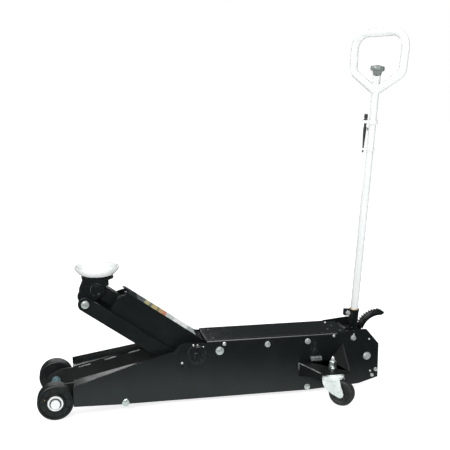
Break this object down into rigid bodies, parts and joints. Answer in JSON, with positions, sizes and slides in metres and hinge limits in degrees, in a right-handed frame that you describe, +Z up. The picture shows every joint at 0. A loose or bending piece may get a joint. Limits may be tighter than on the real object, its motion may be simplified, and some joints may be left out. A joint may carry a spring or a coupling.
{
  "type": "hydraulic floor jack",
  "caption": "Long-chassis service floor jack: raised lift arm with dish saddle, flared wheeled front, outrigger swivel casters, foot pedal and tall loop-grip pump handle.",
  "frame": {"origin": "centre of the bounding box's bottom face, on the floor between front wheels and rear casters", "axes": "+X along the chassis towards the handle end, +Z up; the chassis is symmetric about Y = 0"},
  "size_m": [1.4832, 0.5574, 1.4958],
  "materials": {
    "black_paint": "gloss black enamel",
    "white_paint": "gloss white enamel",
    "zinc": "bright zinc plate",
    "chrome": "polished plate",
    "wheel_black": "semi-gloss black cast wheel",
    "black_plastic": "matt",
    "cast_iron": "as cast, painted grey",
    "caster_tread": "matt",
    "label": "printed label film"
  },
  "bodies": {
    "chassis": {"side_plate_near": "black_paint", "side_plate_far": "black_paint", "rail_near": "black_paint", "rail_far": "black_paint", "front_shelf_near": "black_paint", "front_shelf_far": "black_paint", "front_axle": "zinc", "axle_cap_near": "white_paint", "axle_cap_far": "white_paint", "top_cover": "black_paint", "tie_bolt_front": "zinc", "tie_bolt_middle": "zinc", "tie_bolt_rear": "zinc", "tie_bolt_low": "zinc", "tie_bolt_nose": "zinc", "cross_tube": "black_paint", "rear_plate": "black_paint", "arm_shaft": "black_paint", "link_pivot_pin_near": "zinc", "link_pivot_pin_far": "zinc", "cylinder": "cast_iron", "oil_tank": "black_paint", "pump_block": "cast_iron", "handle_shaft": "zinc", "pedal_shaft": "zinc", "caster_bracket_near": "black_paint", "caster_bracket_far": "black_paint", "caster_stud_near": "zinc", "caster_stud_far": "zinc"},
    "wheel_near": {"front_wheel_near": "wheel_black"},
    "wheel_far": {"front_wheel_far": "wheel_black"},
    "lift_arm": {"arm_side_near": "black_paint", "arm_side_far": "black_paint", "arm_top_plate": "black_paint", "arm_knuckle": "black_paint", "arm_hub": "black_paint", "arm_label": "label"},
    "radius_link_near": {"link_near": "black_paint"},
    "radius_link_far": {"link_far": "black_paint"},
    "saddle_yoke": {"yoke": "black_paint", "yoke_pin": "cast_iron", "link_head_pin": "zinc"},
    "saddle_dish": {"saddle": "white_paint"},
    "ram_rod": {"ram": "chrome", "ram_pin": "zinc"},
    "handle": {"handle_socket": "black_paint", "handle_tube": "white_paint", "grip_loop": "white_paint", "clamp_bolt": "zinc", "latch_bracket": "white_paint", "latch_guide": "white_paint"},
    "knob": {"release_knob": "black_plastic"},
    "latch": {"latch_plunger": "black_plastic"},
    "pedal": {"foot_pedal": "black_paint"},
    "plunger": {"pump_plunger": "zinc"},
    "valve": {"release_valve": "zinc"},
    "fork_near": {"caster_fork_near": "zinc"},
    "fork_far": {"caster_fork_far": "zinc"},
    "caster_near": {"caster_wheel_near": "caster_tread"},
    "caster_far": {"caster_wheel_far": "caster_tread"}
  },
  "joints": [
    {"name": "wheel_near_spin", "type": "hinge", "parent": "chassis", "child": "wheel_near", "pos_m": [-0.67207, -0.1386, 0.0695], "axis": [0, 1, 0], "continuous": true},
    {"name": "wheel_far_spin", "type": "hinge", "parent": "chassis", "child": "wheel_far", "pos_m": [-0.67207, 0.1386, 0.0695], "axis": [0, 1, 0], "continuous": true},
    {"name": "arm_lift", "type": "hinge", "parent": "chassis", "child": "lift_arm", "pos_m": [-0.11307, 0, 0.201], "axis": [0, 1, 0], "range_deg": [-48, 3]},
    {"name": "link_near_swing", "type": "hinge", "parent": "chassis", "child": "radius_link_near", "pos_m": [-0.16107, -0.063, 0.151], "axis": [0, 1, 0], "range_deg": [-49, 4]},
    {"name": "link_far_swing", "type": "hinge", "parent": "chassis", "child": "radius_link_far", "pos_m": [-0.16107, 0.063, 0.151], "axis": [0, 1, 0], "range_deg": [-49, 4]},
    {"name": "yoke_level", "type": "hinge", "parent": "lift_arm", "child": "saddle_yoke", "pos_m": [-0.50008, 0, 0.474], "axis": [0, 1, 0], "range_deg": [-4, 49]},
    {"name": "saddle_swivel", "type": "hinge", "parent": "saddle_yoke", "child": "saddle_dish", "pos_m": [-0.49707, 0, 0.526], "axis": [0, 0, 1], "continuous": true},
    {"name": "ram_slide", "type": "slide", "parent": "chassis", "child": "ram_rod", "axis": [-1, 0, 0], "range_m": [-0.105, 0.008]},
    {"name": "handle_pump", "type": "hinge", "parent": "chassis", "child": "handle", "pos_m": [0.54792, 0, 0.231], "axis": [0, 1, 0], "range_deg": [0, 55]},
    {"name": "plunger_slide", "type": "slide", "parent": "chassis", "child": "plunger", "axis": [-1, 0, 0], "range_m": [-0.001, 0.048]},
    {"name": "knob_twist", "type": "hinge", "parent": "handle", "child": "knob", "pos_m": [0.65683, 0, 1.32828], "axis": [0.0703, 0, 0.9975], "range_deg": [0, 180]},
    {"name": "valve_turn", "type": "hinge", "parent": "chassis", "child": "valve", "pos_m": [0.47792, -0.03, 0.12], "axis": [1, 0, 0], "range_deg": [-1, 181]},
    {"name": "latch_pull", "type": "slide", "parent": "handle", "child": "latch", "axis": [0.0703, 0, 0.9975], "range_m": [0, 0.012], "stiffness_N_per_m": 300, "springref_m": -0.02},
    {"name": "pedal_press", "type": "hinge", "parent": "chassis", "child": "pedal", "pos_m": [0.60993, 0.045, 0.148], "axis": [0, 1, 0], "range_deg": [0, 18], "stiffness_Nm_per_rad": 8, "springref_deg": -20.05},
    {"name": "caster_near_swivel", "type": "hinge", "parent": "chassis", "child": "fork_near", "pos_m": [0.41992, -0.212, 0.124], "axis": [0, 0, 1], "continuous": true},
    {"name": "caster_far_swivel", "type": "hinge", "parent": "chassis", "child": "fork_far", "pos_m": [0.41992, 0.212, 0.124], "axis": [0, 0, 1], "continuous": true},
    {"name": "caster_near_roll", "type": "hinge", "parent": "fork_near", "child": "caster_near", "pos_m": [0.45187, -0.23607, 0.052], "axis": [0.6018, 0.7986, 0], "continuous": true},
    {"name": "caster_far_roll", "type": "hinge", "parent": "fork_far", "child": "caster_far", "pos_m": [0.45187, 0.23607, 0.052], "axis": [0.6018, -0.7986, 0], "continuous": true}
  ],
  "couplings": [
    {"joint": "link_near_swing", "follows": "arm_lift", "ratio": 1},
    {"joint": "link_far_swing", "follows": "arm_lift", "ratio": 1},
    {"joint": "yoke_level", "follows": "arm_lift", "ratio": -1},
    {"joint": "ram_slide", "follows": "arm_lift", "m_per_rad": 0.121},
    {"joint": "plunger_slide", "follows": "handle_pump", "m_per_rad": 0.048},
    {"joint": "valve_turn", "follows": "knob_twist", "ratio": 1}
  ]
}
